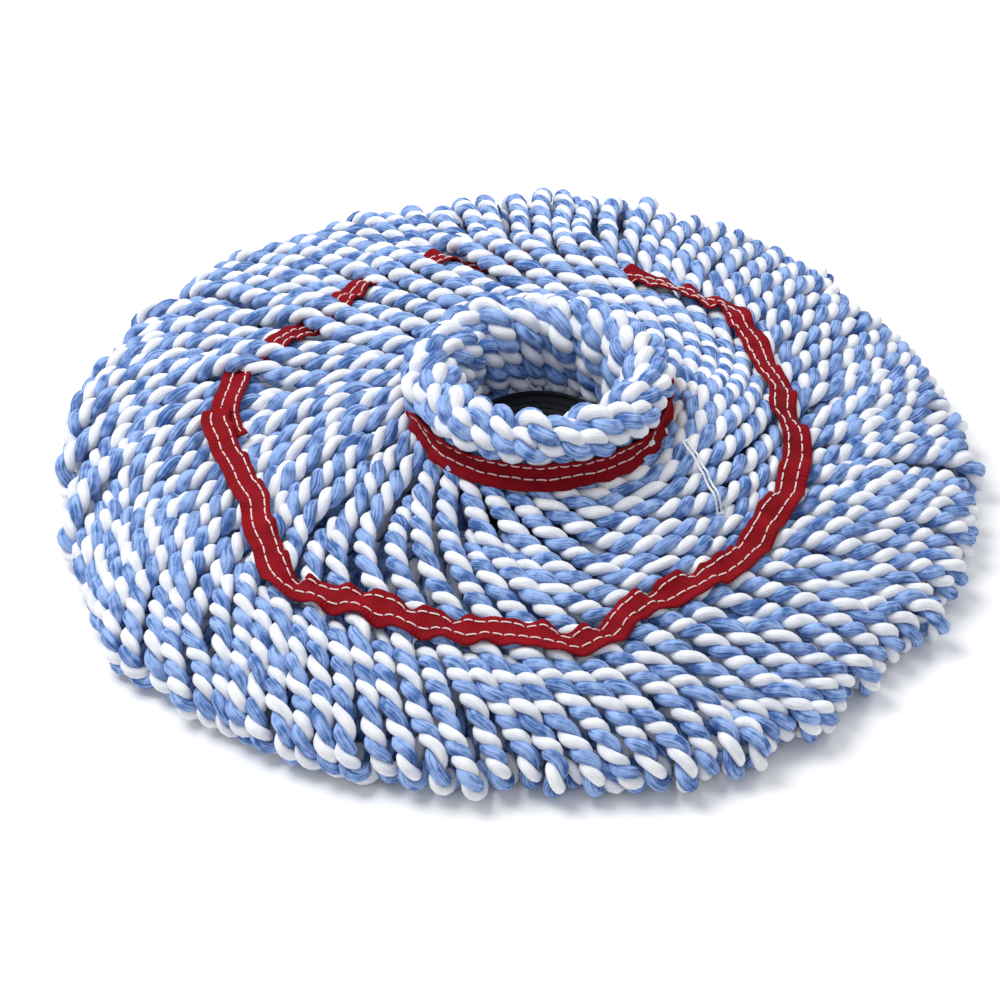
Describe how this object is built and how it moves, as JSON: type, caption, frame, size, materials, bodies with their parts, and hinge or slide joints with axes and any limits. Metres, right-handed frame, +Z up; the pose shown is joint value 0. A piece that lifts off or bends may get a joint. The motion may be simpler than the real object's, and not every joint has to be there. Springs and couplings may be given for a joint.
{
  "type": "twist mop head refill",
  "caption": "Round mop head of looped two-ply strands between a handle socket and a hooped, rolled neck, held by two red tapes.",
  "frame": {"origin": "on the handle's axis, at floor level, under the middle of the spread head", "axes": "+Z up along the handle's axis; +X to the right and +Y away from the viewer of the front"},
  "size_m": [0.38, 0.38, 0.0837],
  "materials": {
    "strand": "two-ply microfibre cord, one white and one blue ply",
    "red_tape": "ribbed woven tape",
    "thread": "sewing thread",
    "black_plastic": "moulded, satin",
    "clear_nylon": "clear filament"
  },
  "bodies": {
    "root": {"under_strands_1": "strand", "under_strands_2": "strand", "under_strands_3": "strand", "under_strands_4": "strand", "under_strands_5": "strand", "under_strands_6": "strand", "under_strands_7": "strand", "under_strands_8": "strand", "under_strands_9": "strand", "under_strands_10": "strand", "under_strands_11": "strand", "under_strands_12": "strand", "rim_strands_1": "strand", "rim_strands_2": "strand", "rim_strands_3": "strand", "rim_strands_4": "strand", "rim_strands_5": "strand", "rim_strands_6": "strand", "rim_strands_7": "strand", "rim_strands_8": "strand", "rim_strands_9": "strand", "rim_strands_10": "strand", "rim_strands_11": "strand", "rim_strands_12": "strand", "skirt_strands_1": "strand", "skirt_strands_2": "strand", "skirt_strands_3": "strand", "skirt_strands_4": "strand", "skirt_strands_5": "strand", "skirt_strands_6": "strand", "skirt_strands_7": "strand", "skirt_strands_8": "strand", "mid_tape": "red_tape", "mid_thread_inner": "thread", "mid_thread_outer": "thread", "tag_pin": "clear_nylon"},
    "neck": {"neck_hoop": "black_plastic", "neck_tape": "red_tape", "neck_thread_upper": "thread", "neck_thread_lower": "thread", "neck_strands_1": "strand", "neck_strands_2": "strand", "neck_strands_3": "strand", "neck_strands_4": "strand", "neck_strands_5": "strand", "neck_strands_6": "strand", "neck_strands_7": "strand", "neck_strands_8": "strand"},
    "socket": {"handle_socket": "black_plastic", "clamp_ring": "black_plastic", "strand_ends_1": "strand", "strand_ends_2": "strand", "strand_ends_3": "strand", "strand_ends_4": "strand", "strand_ends_5": "strand", "strand_ends_6": "strand"}
  },
  "joints": [
    {"name": "neck_lift", "type": "slide", "parent": "root", "child": "neck", "axis": [0, 0, 1], "range_m": [0, 0.06], "deforming": ["skirt_strands_1", "skirt_strands_2", "skirt_strands_3", "skirt_strands_4", "skirt_strands_5", "skirt_strands_6", "skirt_strands_7", "skirt_strands_8"]},
    {"name": "socket_turn", "type": "hinge", "parent": "root", "child": "socket", "pos_m": [0, 0, 0], "axis": [0, 0, 1], "range_deg": [-45, 45]}
  ]
}
